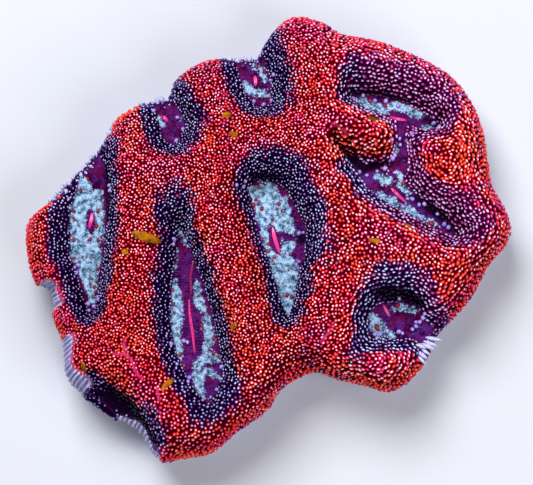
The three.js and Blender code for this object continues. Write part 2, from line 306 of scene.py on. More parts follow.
def size_property(name, description, millimetres):
    """A length property."""
    return FloatProperty(
        name=name, description=description, default=millimetres * MM, min=0, unit="LENGTH",
    )


def colour_property(name, description, red, green, blue):
    """A colour property, given as seen."""
    return FloatVectorProperty(
        name=name, description=description, subtype="COLOR", size=3, min=0, max=1,
        default=linear(red, green, blue),
    )


class CoralShape(bpy.types.PropertyGroup):
    """The form of the colony."""

    edge_height: size_property("Edge height", "Height of the widest line of the sides", 9)
    floor_height: size_property("Floor height", "Height of a valley floor at the outer edge", 12)
    dome_rise: size_property("Dome rise", "How much higher the middle stands", 3.5)
    wall_height: size_property("Wall height", "From a valley floor to its ridge's crest", 10)
    wall_width: size_property("Wall width", "Plan width of a wall", 5.2)
    floor_dish: size_property("Floor dish", "How deep a floor is dished", 0.7)
    rim_width: size_property("Rim width", "Plan width of a ridge's roll into the side", 7.5)
    open_rim_width: size_property("Open rim width", "The same where a valley runs out", 2.2)
    lump_height: size_property("Lump height", "Swellings along the crests", 0.7)
    foot_inset: size_property("Foot inset", "How far the foot is drawn in", 5)
    below_cut: size_property("Below the cut", "How far the foot's curve runs on below the cut", 2)
    foot_softness: FloatProperty(
        name="Foot softness", description="Roundness of a wall's foot", default=1.2, min=1, max=3,
    )
    crest_roundness: FloatProperty(
        name="Crest roundness", description="Fullness of a ridge", default=2.5, min=1, max=5,
    )
    foot_curve: FloatProperty(
        name="Foot curve", description="How long the side stays upright", default=1.7, min=1, max=4,
    )
    flesh_step: size_property("Flesh step", "How far flesh stands proud of the skeleton", 0.6)
    cells: IntProperty(
        name="Cells", description="Grid cells across the top", default=220, min=20, max=230)
    rings: IntProperty(name="Rings", description="Rings down the sides", default=40, min=4, max=60)


class CoralGrains(bpy.types.PropertyGroup):
    """The grains that cover the flesh."""

    spacing: size_property("Spacing", "Least distance between two grains", 0.47)
    wide_spacing: size_property("Wide spacing", "The same on the right and at the bottom", 0.57)
    row_pitch: size_property("Row pitch", "Distance between the rows on a wall", 0.68)
    radius: size_property("Radius", "Half width of a grain", 0.275)
    height: size_property("Height", "How far a grain stands out", 0.42)
    side_spacing: size_property("Side spacing", "The same round the outside", 0.84)
    seed: IntProperty(name="Seed", description="Start of the random places", default=7, min=0)


class CoralColours(bpy.types.PropertyGroup):
    """The coral's colours."""

    crest: colour_property("Crest", "Flesh of the crests", 0.90, 0.08, 0.14)
    crest_warm: colour_property("Warm crest", "Orange blotches of the crests", 0.94, 0.24, 0.04)
    crest_rose: colour_property("Rose crest", "Magenta blotches of the crests", 0.84, 0.08, 0.38)
    # The tip colours are partly the grains' own pale tips and partly a painted highlight on their wet tops.
    crest_tip_and_highlight: colour_property("Crest tips", "Tips of the grains on a crest", 1.0, 0.88, 1.0)
    # Painted shade: the gap colours are the flesh's own hue, darkened where shade falls between the grains.
    crest_gap_shade: colour_property("Crest gaps", "Flesh between the grains of a crest", 0.27, 0.0, 0.06)
    wall: colour_property("Wall", "Flesh of the walls", 0.26, 0.10, 0.42)
    # The warm wall colours are partly the right-hand walls' own hue and partly painted light on the
    # better-lit side.
    wall_warm: colour_property("Warm wall", "Flesh of the walls on the right", 0.52, 0.08, 0.40)
    # Partly the grains' own pale tips, partly a painted highlight, as for the crest tips.
    wall_tip_and_highlight: colour_property("Wall tips", "Tips of the grains on a wall", 0.78, 0.86, 1.0)
    wall_tip_warm: colour_property("Warm wall tips", "The same on the right", 0.86, 0.78, 1.0)
    # Painted shade between the grains of the walls, as for the crest gaps.
    wall_gap_shade: colour_property("Wall gaps", "Flesh between the grains of a wall", 0.09, 0.0, 0.16)
    wall_gap_warm_shade: colour_property("Warm wall gaps", "The same on the right", 0.19, 0.0, 0.15)
    floor_pale: colour_property("Pale floor", "Turquoise of the valley floors", 0.69, 0.83, 0.97)
    floor_deep: colour_property("Deep floor", "Deeper mottling of the floors", 0.16, 0.30, 0.42)
    wine: colour_property("Wine", "Smooth patches of the floors", 0.36, 0.05, 0.27)
    violet: colour_property("Violet", "Streaks in those patches", 0.34, 0.18, 0.60)
    algae: colour_property("Algae", "Grown-over spots", 0.80, 0.52, 0.08)
    crease: colour_property("Crease", "Creases in the crests", 0.86, 0.20, 0.44)
    rim: colour_property("Rim", "Where the flesh ends", 0.82, 0.50, 0.80)
    mouth: colour_property("Mouth", "Lips of the mouths", 1.0, 0.22, 0.60)
    # The bead colour is the beads' own pale lilac, dimmed as painted shade where they sit at the walls'
    # shaded feet.
    bead: colour_property("Bead", "Tentacle tips along the walls", 0.58, 0.48, 0.86)
    skeleton: colour_property("Skeleton", "Bare skeleton", 0.84, 0.83, 0.98)
    skeleton_deep: colour_property("Deep skeleton", "Between the skeleton's ribs", 0.40, 0.38, 0.62)


class CoralStage(bpy.types.PropertyGroup):
    """Camera, lights and floor."""

    distance: size_property("Distance", "From the camera to the coral", 517)
    lens: FloatProperty(name="Lens", description="Focal length, in millimetres", default=182, min=10)
    aside: size_property("Aside", "How far the camera stands to the right", 33)
    towards: size_property("Towards", "How far the camera stands in front", 45)
    key_power: FloatProperty(name="Key light", description="Main light", default=4.7, unit="POWER")
    fill_power: FloatProperty(name="Fill light", description="Second light", default=2.4, unit="POWER")
    world_strength: FloatProperty(name="Surroundings", description="Even light", default=0.14)
    floor: colour_property("Floor", "The floor", 0.80, 0.81, 0.85)


# ---------------------------------------------------------------------------
# The form: outline, relief and zones
# ---------------------------------------------------------------------------

def smooth_step(low, high, value):
    """0 below low, 1 above high, and smooth between."""
    part = np.clip((value - low) / (high - low), 0, 1)
    return part * part * (3 - 2 * part)


def closed_curve(points, samples):
    """A centripetal Catmull-Rom curve through a closed ring of points."""
    count = len(points)
    place = np.arange(samples) / samples * count
    start = place.astype(int)
    part = (place - start)[:, None]
    before, here, after, beyond = (points[(start + step) % count] for step in (-1, 0, 1, 2))
    knot_a, knot_b, knot_c = (
        np.sqrt(np.linalg.norm(q - p, axis=1))[:, None]
        for p, q in ((before, here), (here, after), (after, beyond))
    )
    leave = (here - before) / knot_a - (after - before) / (knot_a + knot_b) + (after - here) / knot_b
    arrive = (after - here) / knot_b - (beyond - here) / (knot_b + knot_c) + (beyond - after) / knot_c
    leave *= knot_b
    arrive *= knot_b
    square = 3 * (after - here) - 2 * leave - arrive
    cube = 2 * (here - after) + leave + arrive
    return here + leave * part + square * part**2 + cube * part**3


def path_distance(path, x, y):
    """Distance of points to a polyline (less its half width where it has one), which way they lie
    from it, and how far along it."""
    nearest = np.full(x.shape, 1.0)
    direction, along = np.zeros(x.shape), np.zeros(x.shape)
    run = 0
    for start, end in zip(path[:-1], path[1:]):
        run_x, run_y = end[0] - start[0], end[1] - start[1]
        length = math.hypot(run_x, run_y)
        part = ((x - start[0]) * run_x + (y - start[1]) * run_y) / length**2
        part = np.clip(part, 0, 1)
        off_x = x - start[0] - part * run_x
        off_y = y - start[1] - part * run_y
        distance = np.hypot(off_x, off_y)
        if len(start) > 2:
            distance = distance - start[2] - part * (end[2] - start[2])
        closer = distance < nearest
        nearest = np.where(closer, distance, nearest)
        direction = np.where(closer, np.arctan2(off_y, off_x), direction)
        along = np.where(closer, run + part * length, along)
        run += length
    return nearest, direction, along


def strip_mask(strips, x, y, softness):
    """1 inside strips given in millimetres, fading out over a distance at their edges."""
    mask = np.zeros(x.shape)
    for strip in strips:
        distance = path_distance(np.array(strip) * MM, x, y)[0]
        mask = np.maximum(mask, 1 - smooth_step(-softness, softness, distance))
    return mask


def patch_mask(patches, x, y, softness=0.25):
    """1 inside the oval patches, fading out at their edges."""
    mask = np.zeros(x.shape)
    for centre_x, centre_y, half_length, half_width, turn in patches:
        angle = math.radians(turn)
        off_x, off_y = x - centre_x * MM, y - centre_y * MM
        along = (off_x * math.cos(angle) + off_y * math.sin(angle)) / (half_length * MM)
        across = (off_y * math.cos(angle) - off_x * math.sin(angle)) / (half_width * MM)
        mask = np.maximum(mask, 1 - smooth_step(1 - softness, 1 + softness, np.hypot(along, across)))
    return mask


class Form:
    """The colony's form, worked out from the shape's sizes. Plan points are before centring."""

    RIM_SAMPLES = 900

    def __init__(self, shape):
        self.shape = shape
        self.rim = closed_curve(OUTLINE, self.RIM_SAMPLES)
        self.centre = (self.rim.min(axis=0) + self.rim.max(axis=0)) / 2
        angles = np.arctan2(self.rim[:, 1], self.rim[:, 0])
        order = np.argsort(angles)
        radii = np.hypot(self.rim[:, 0], self.rim[:, 1])[order]
        angles = angles[order]
        self.angles = np.concatenate([angles[-1:] - TURN, angles, angles[:1] + TURN])
        self.radii = np.concatenate([radii[-1:], radii, radii[:1]])
        steps = np.hypot(np.gradient(self.radii), self.radii * np.gradient(self.angles))
        self.lengths = np.cumsum(steps)
        self.valleys = [
            (np.array(v.spine) * MM, math.radians(v.facing), v.spread * MM, v.lift * MM)
            for v in VALLEYS.values()
        ]

    def rim_radius(self, angle):
        """Radius of the outline in a direction."""
        return np.interp(angle, self.angles, self.radii)

    def relief(self, x, y):
        """Height of the upper surface with the zones that lie there, as a dictionary."""
        shape = self.shape
        angle = np.arctan2(y, x)
        radius = self.rim_radius(angle)
        inside = np.minimum(np.hypot(x, y) / radius, 1)
        ridge, wall, redness = np.ones(x.shape), np.ones(x.shape), np.full(x.shape, 2.0)
        lift, dish = np.zeros(x.shape), np.zeros(x.shape)
        nearest, away = np.full(x.shape, 1.0), np.zeros(x.shape)
        for spine, facing, spread, raised in self.valleys:
            distance, direction, _ = path_distance(spine, x, y)
            lean = np.maximum(0, np.cos(direction - facing))
            part = np.clip(distance / (shape.wall_width + spread * lean**2), 0, 1)
            rise = 1 - (1 - part**shape.foot_softness) ** shape.crest_roundness
            ridge *= rise
            wall = np.minimum(wall, part)
            redness = np.minimum(redness, part / (RED_FROM + RED_FROM_LEAN * lean**2))
            lift += raised * (1 - rise)
            dish = np.maximum(dish, smooth_step(0, 3 * MM, -distance))
            closer = distance < nearest
            nearest = np.where(closer, distance, nearest)
            away = np.where(closer, direction, away)
        floor = shape.floor_height + shape.dome_rise * (1 - inside**2)
        floor = floor + lift * (1 - ridge) - shape.floor_dish * dish
        wave = 0.5 * x / MM + 1.4 * np.sin(0.16 * y / MM)
        lump = shape.lump_height * np.sin(wave) * np.sin(0.42 * y / MM + 0.9)
        height = floor + (shape.wall_height + lump) * ridge
        rim_width = shape.open_rim_width + (shape.rim_width - shape.open_rim_width) * ridge
        inset = (1 - inside) * radius
        roll = np.sqrt(1 - (1 - np.clip(inset / rim_width, 0, 1)) ** 2)
        height = shape.edge_height + (height - shape.edge_height) * roll
        return {
            "height": height, "ridge": ridge, "wall": wall, "redness": redness,
            "distance": nearest, "away": away, "inset": inset, "angle": angle,
        }

    def height(self, x, y):
        """Height of the upper surface."""
        return self.relief(x, y)["height"]

    def normal(self, x, y):
        """Outward normals of the upper surface."""
        step = 0.12 * MM
        slope_x = (self.height(x + step, y) - self.height(x - step, y)) / (2 * step)
        slope_y = (self.height(x, y + step) - self.height(x, y - step)) / (2 * step)
        normal = np.stack([-slope_x, -slope_y, np.ones(x.shape)], axis=-1)
        return normal / np.linalg.norm(normal, axis=-1, keepdims=True)

    def roll_sizes(self, angle):
        """Width and height of the roll from the widest line up to the upper surface."""
        shape = self.shape
        reach = self.rim_radius(angle) - 1.2 * MM
        relief = self.relief(reach * np.cos(angle), reach * np.sin(angle))
        width = shape.open_rim_width + (shape.rim_width - shape.open_rim_width) * relief["ridge"]
        roll = np.sqrt(1 - (1 - relief["inset"] / width) ** 2)
        return width, (relief["height"] - shape.edge_height) / roll

    def rise_at(self, angle, inset):
        """Height above the widest line where the roll lies this far inside the outline."""
        width, height = self.roll_sizes(angle)
        return height * np.sqrt(1 - (1 - np.clip(inset / width, 0, 1)) ** 2)

    def side_surface(self, angle, rise):
        """Points of the outer side: rise is measured from the widest line, up or down."""
        width, height = self.roll_sizes(angle)
        inset_above = width * (1 - np.sqrt(1 - np.clip(rise / height, 0, 0.999) ** 2))
        low = self.shape.edge_height + rise
        reach = self.rim_radius(angle) - np.where(rise > 0, inset_above, self.side_inset(low))
        return centred(self, reach * np.cos(angle), reach * np.sin(angle), low)

    def side_normal(self, angle, rise):
        """Outward normals of the outer side."""
        turn, step = 0.15 * MM / self.rim_radius(angle), 0.1 * MM
        around = self.side_surface(angle + turn, rise) - self.side_surface(angle - turn, rise)
        upward = self.side_surface(angle, rise + step) - self.side_surface(angle, rise - step)
        normal = np.cross(around, upward)
        return normal / np.linalg.norm(normal, axis=-1, keepdims=True)

    def side_inset(self, height):
        """How far the side is drawn in at a height below the widest line."""
        shape = self.shape
        level = (height + shape.below_cut) / (shape.edge_height + shape.below_cut)
        return shape.foot_inset * np.clip(1 - level, 0, 1) ** shape.foot_curve

    def flesh_edge(self, angle):
        """Where the flesh ends: above 0 in from the outline, below 0 down the side."""
        wave = 0.7 * MM * np.sin(7 * angle + 1) + 0.5 * MM * np.sin(17 * angle)
        edge = -FLESH_DEPTH + wave
        for middle, half, back in BARE_STRETCHES:
            off = (angle - math.radians(middle) + math.pi) % TURN - math.pi
            share = 1 - smooth_step(0.75, 1.15, np.abs(off) / math.radians(half))
            edge = edge * (1 - share) + share * (back + 0.35 * np.sin(40 * angle)) * MM
        return edge


def zones(relief, x, y):
    """Shares of each zone at plan points, and a rib count along the nearest mouth."""
    floor = 1 - smooth_step(-0.15 * MM, 0.35 * MM, relief["distance"])
    pale = strip_mask(PALE_STRIPS, x, y, 0.9 * MM) * (1 - patch_mask(WINE_PATCHES, x, y))
    crease = np.zeros(x.shape)
    for path in CREASES:
        distance = path_distance(np.array(path) * MM, x, y)[0]
        crease = np.maximum(crease, 1 - smooth_step(0.05 * MM, 0.34 * MM, distance))
    redness = relief["redness"]
    for patch, shift in RED_SHIFTS:
        redness = redness + shift * patch_mask([patch], x, y, 0.6)
    nearest, ribs = np.full(x.shape, 1.0), np.zeros(x.shape)
    for mouth in MOUTHS:
        distance, _, along = path_distance(np.array(mouth.path) * MM, x, y)
        closer = distance < nearest
        nearest = np.where(closer, distance, nearest)
        ribs = np.where(closer, along / RIB_PITCH, ribs)
    return {
        "crest": smooth_step(0.55, 1.6, redness), "floor": floor, "pale": pale * floor,
        "dark": strip_mask(DARK_STRIPS, x, y, 0.5 * MM), "algae": patch_mask(ALGAE_PATCHES, x, y),
        "crease": crease, "ribs": ribs,
    }


# ---------------------------------------------------------------------------
# Mesh helpers
# ---------------------------------------------------------------------------

def new_object(name, mesh, material):
    """Puts a finished mesh in the scene, riding on the coral's body."""
    mesh.materials.append(material)
    piece = bpy.data.objects.new(name, mesh)
    bpy.context.scene.collection.objects.link(piece)
    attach(piece, BODY)
    return piece


def set_points(mesh, points):
    """Moves all of a mesh's vertices."""
    mesh.vertices.foreach_set("co", np.ascontiguousarray(points, dtype=np.float32).ravel())
    mesh.update()


def get_points(mesh):
    """A mesh's vertices as an array."""
    points = np.empty(len(mesh.vertices) * 3, dtype=np.float32)
    mesh.vertices.foreach_get("co", points)
    return points.reshape(-1, 3).astype(float)


def set_values(mesh, **named):
    """Stores one number per vertex under each name."""
    for name, values in named.items():
        attribute = mesh.attributes.new(name, "FLOAT", "POINT")
        attribute.data.foreach_set("value", np.ascontiguousarray(values, dtype=np.float32))


def prototype(build):
    """The points and faces that a bmesh build function makes, for copying many times."""
    bm = bmesh.new()
    build(bm)
    bm.verts.index_update()
    points = np.array([v.co[:] for v in bm.verts])
    faces = [[v.index for v in face.verts] for face in bm.faces]
    bm.free()
    return points, faces


def joined_copies(name, faces, points):
    """One mesh of many copies: points holds each copy's vertices, all with the same faces."""
    copies, per_copy = points.shape[:2]
    corners = np.concatenate([np.array(face) for face in faces])
    totals = np.array([len(face) for face in faces])
    offsets = (np.arange(copies) * per_copy)[:, None]
    all_corners = (corners[None, :] + offsets).ravel()
    all_totals = np.tile(totals, copies)
    starts = np.concatenate([[0], np.cumsum(all_totals)[:-1]])
    mesh = bpy.data.meshes.new(name)
    mesh.vertices.add(copies * per_copy)
    mesh.loops.add(len(all_corners))
    mesh.polygons.add(len(all_totals))
    mesh.loops.foreach_set("vertex_index", all_corners.astype(np.int32))
    mesh.polygons.foreach_set("loop_start", starts.astype(np.int32))
    mesh.polygons.foreach_set("use_smooth", np.ones(len(all_totals), dtype=bool))
    set_points(mesh, points.reshape(-1, 3))
    mesh.validate()
    return mesh


def upright_frames(normals, spin):
    """For each normal, two more axes square to it: the first level, then turned by spin."""
    normals = normals / np.linalg.norm(normals, axis=1, keepdims=True)
    level = np.cross([0.003, 0.005, 1.0], normals)
    level /= np.linalg.norm(level, axis=1, keepdims=True)
    upward = np.cross(normals, level)
    cos, sin = np.cos(spin)[:, None], np.sin(spin)[:, None]
    return np.stack([level * cos + upward * sin, upward * cos - level * sin, normals], axis=1)


def spread_out(candidates, spacings):
    """Indices of candidates that each keep their own least distance, taken in order."""
    cells = {}
    kept = []
    near = [(i, j, k) for i in (-1, 0, 1) for j in (-1, 0, 1) for k in (-1, 0, 1)]
    keys = np.floor(candidates / spacings.max()).astype(int).tolist()
    limits = (spacings**2).tolist()
    for index, ((x, y, z), (i, j, k)) in enumerate(zip(candidates.tolist(), keys)):
        limit = limits[index]
        crowded = any(
            (x - a) ** 2 + (y - b) ** 2 + (z - c) ** 2 < limit
            for step_i, step_j, step_k in near
            for a, b, c in cells.get((i + step_i, j + step_j, k + step_k), ())
        )
        if not crowded:
            cells.setdefault((i, j, k), []).append((x, y, z))
            kept.append(index)
    return np.array(kept)


# ---------------------------------------------------------------------------
# Node helpers and groups
# ---------------------------------------------------------------------------

class Tree:
    """Adds and links nodes in one node tree."""

    def __init__(self, node_tree):
        self.tree = node_tree

    def add(self, kind, inputs=None, **settings):
        """A new node; inputs are plain values or sockets to link from."""
        node = self.tree.nodes.new(kind)
        for name, value in settings.items():
            setattr(node, name, value)
        for name, value in (inputs or {}).items():
            if isinstance(value, bpy.types.NodeSocket):
                self.tree.links.new(value, node.inputs[name])
            else:
                node.inputs[name].default_value = value
        return node

    def group(self, group, inputs):
        """A node group placed with its inputs; gives its outputs."""
        return self.add("ShaderNodeGroup", inputs, node_tree=group).outputs

    def link(self, output, socket):
        """A link between two sockets."""
        self.tree.links.new(output, socket)

    def math(self, operation, first, second=0.0):
        """A Math node's result."""
        node = self.add("ShaderNodeMath", {0: first, 1: second}, operation=operation)
        return node.outputs[0]

    def ramp(self, value, low, high, to_low=0.0, to_high=1.0):
        """A smooth step of a value."""
        node = self.add(
            "ShaderNodeMapRange",
            {"Value": value, "From Min": low, "From Max": high, "To Min": to_low, "To Max": to_high},
            interpolation_type="SMOOTHSTEP",
        )
        return node.outputs["Result"]

    def mix(self, share, first, second):
        """Two colours mixed."""
        node = self.tree.nodes.new("ShaderNodeMix")
        node.data_type = "RGBA"
        for index, value in ((0, share), (6, first), (7, second)):
            if isinstance(value, bpy.types.NodeSocket):
                self.tree.links.new(value, node.inputs[index])
            elif index == 0:
                node.inputs[index].default_value = value
            else:
                node.inputs[index].default_value = (*value[:3], 1)
        return node.outputs[2]

    def mottled(self, mottle, position, name):
        """The Mottle group's mask with one of the named mottlings."""
        scale, contrast = MOTTLES[name]
        return self.group(
            mottle, {"Position": position, "Scale": scale, "Contrast": contrast})["Mask"]

    def noise(self, position, scale, detail=2.0, roughness=0.5):
        """Noise of a scale in features per metre."""
        node = self.add(
            "ShaderNodeTexNoise",
            {"Vector": position, "Scale": scale, "Detail": detail, "Roughness": roughness},
        )
        return node.outputs["Fac"]

    def position(self):
        """The piece's own coordinates."""
        return self.add("ShaderNodeTexCoord").outputs["Object"]

    def value(self, name):
        """A number stored on the mesh."""
        return self.add("ShaderNodeAttribute", attribute_name=name).outputs["Fac"]


def new_group(name, inputs, outputs):
    """A shader node group with named sockets; gives its tree, its inputs and its output node."""
    group = bpy.data.node_groups.new(name, "ShaderNodeTree")
    kinds = {"vector": "NodeSocketVector", "value": "NodeSocketFloat", "colour": "NodeSocketColor"}
    for socket, kind in inputs.items():
        group.interface.new_socket(socket, in_out="INPUT", socket_type=kinds[kind])
    for socket, kind in outputs.items():
        group.interface.new_socket(socket, in_out="OUTPUT", socket_type=kinds[kind])
    source = group.nodes.new("NodeGroupInput")
    result = group.nodes.new("NodeGroupOutput")
    return Tree(group), source.outputs, result.inputs, group


def mottle_group():
    """Cloudy patches of two sizes."""
    tree, source, result, group = new_group(
        "Mottle", {"Position": "vector", "Scale": "value", "Contrast": "value"}, {"Mask": "value"})
    broad = tree.noise(source["Position"], source["Scale"], detail=3.0)
    fine = tree.noise(source["Position"], tree.math("MULTIPLY", source["Scale"], 5.0), detail=2.0)
    both = tree.math("ADD", tree.math("MULTIPLY", broad, 0.7), tree.math("MULTIPLY", fine, 0.3))
    swing = tree.math("MULTIPLY", tree.math("SUBTRACT", both, 0.5), source["Contrast"])
    clamped = tree.add("ShaderNodeClamp", {"Value": tree.math("ADD", swing, 0.5)})
    tree.link(clamped.outputs[0], result["Mask"])
    return group


ZONES = ("Crest", "Floor", "Pale", "Dark", "Algae", "Crease", "Rim", "Ribs")


def flesh_tint_group(mottle):
    """The flesh's colour from the zones it lies in."""
    tints_in = ("Crest", "Warm", "Rose", "Wall", "Warm Wall", "Pale Floor", "Deep Floor", "Wine",
                "Violet", "Algae", "Crease", "Rim")
    tree, source, result, group = new_group(
        "Flesh Tint",
        {"Position": "vector", **{name: "value" for name in ZONES},
         **{name + " Colour": "colour" for name in tints_in}},
        {"Colour": "colour", "Crest Share": "value", "Lit Right Share": "value"},
    )

    def mottled(name):
        return tree.mottled(mottle, source["Position"], name)

    def frayed(zone, amount, edge, low=0.35, high=0.65):
        wander = tree.math("SUBTRACT", mottled(edge), 0.5)
        wander = tree.math("MULTIPLY", wander, amount)
        return tree.ramp(tree.math("ADD", source[zone], wander), low, high)

    place = tree.add("ShaderNodeSeparateXYZ", {"Vector": source["Position"]}).outputs

    crest = tree.mix(mottled("warm blotches"), source["Crest Colour"], source["Warm Colour"])
    rose = tree.math("MULTIPLY", tree.ramp(mottled("rose blotches"), 0.55, 0.9), 0.8)
    crest = tree.mix(rose, crest, source["Rose Colour"])
    top_share = tree.math("MULTIPLY", tree.ramp(place["Y"], *TOP_LOBE), 0.45)
    crest = tree.mix(top_share, crest, source["Rose Colour"])

    # Painted light in part: the right-hand walls turn warmer and brighter where the light falls.
    wander = tree.math("SUBTRACT", mottled("right side's edge"), 0.5)
    wander = tree.math("MULTIPLY", wander, 12 * MM)
    far_right = tree.math("ADD", place["X"], tree.math("MULTIPLY", place["Y"], RIGHT_SLANT))
    lit_right_share = tree.ramp(tree.math("ADD", far_right, wander), *RIGHT_SIDE)
    wall = tree.mix(lit_right_share, source["Wall Colour"], source["Warm Wall Colour"])
    crest_share = tree.math("POWER", frayed("Crest", 0.35, "crest's edge", 0.05, 0.85), 1.3)
    flesh = tree.mix(crest_share, wall, crest)

    pale = tree.mix(
        mottled("pale floor"), source["Deep Floor Colour"], source["Pale Floor Colour"])
    wander = tree.math("MULTIPLY", mottled("ribs' wander"), 1.2)
    turns = tree.math("MULTIPLY", tree.math("ADD", source["Ribs"], wander), TURN)
    rib = tree.math("MULTIPLY", tree.ramp(tree.math("SINE", turns), 0.0, 1.0), 0.45)
    wine = tree.mix(mottled("wine"), source["Wine Colour"], WINE_SHADE)
    wine = tree.mix(rib, wine, source["Violet Colour"])
    streak = tree.math("MULTIPLY", tree.ramp(mottled("streaks"), 0.5, 1.0), 0.2)
    wine = tree.mix(streak, wine, source["Violet Colour"])
    floor = tree.mix(frayed("Pale", 1.5, "pale floor's edge"), wine, pale)
    specks = tree.add(
        "ShaderNodeTexVoronoi", {"Vector": source["Position"], "Scale": 640.0}, feature="F1")
    speck = tree.ramp(specks.outputs["Distance"], 0.34, 0.16)
    floor = tree.mix(tree.math("MULTIPLY", speck, mottled("specks")), floor, source["Wine Colour"])
    flesh = tree.mix(source["Floor"], flesh, floor)

    flesh = tree.mix(source["Crease"], flesh, source["Crease Colour"])
    algae = tree.mix(mottled("algae"), source["Algae Colour"], source["Warm Colour"])
    flesh = tree.mix(frayed("Algae", 0.3, "algae's edge"), flesh, algae)
    flesh = tree.mix(tree.math("MULTIPLY", source["Rim"], 0.75), flesh, source["Rim Colour"])
    flesh = tree.mix(tree.math("MULTIPLY", source["Dark"], 0.92), flesh, SHADOW)
    tree.link(flesh, result["Colour"])
    tree.link(crest_share, result["Crest Share"])
    tree.link(lit_right_share, result["Lit Right Share"])
    return group


def fine_skin_group():
    """Height of fine skin, for a bump."""
    tree, source, result, group = new_group(
        "Fine Skin", {"Position": "vector", "Scale": "value"}, {"Height": "value"})
    grain = tree.noise(source["Position"], source["Scale"], detail=3.0, roughness=0.6)
    cells = tree.add("ShaderNodeTexVoronoi", {"Vector": source["Position"]}, feature="F1")
    tree.link(tree.math("MULTIPLY", source["Scale"], 0.8), cells.inputs["Scale"])
    height = tree.math("SUBTRACT", grain, tree.math("MULTIPLY", cells.outputs["Distance"], 0.5))
    tree.link(height, result["Height"])
    return group


def bone_tint_group(mottle):
    """Pale skeleton, stained in places."""
    tree, source, result, group = new_group(
        "Skeleton Tint",
        {"Position": "vector", "Pale Colour": "colour", "Deep Colour": "colour"},
        {"Colour": "colour"},
    )
    pits = tree.ramp(tree.noise(source["Position"], 2600.0), 0.45, 0.75)
    colour = tree.mix(
        tree.math("MULTIPLY", pits, 0.6), source["Pale Colour"], source["Deep Colour"])
    stains = tree.mottled(mottle, source["Position"], "stains")
    colour = tree.mix(tree.math("MULTIPLY", stains, 0.35), colour, source["Deep Colour"])
    tree.link(colour, result["Colour"])
    return group


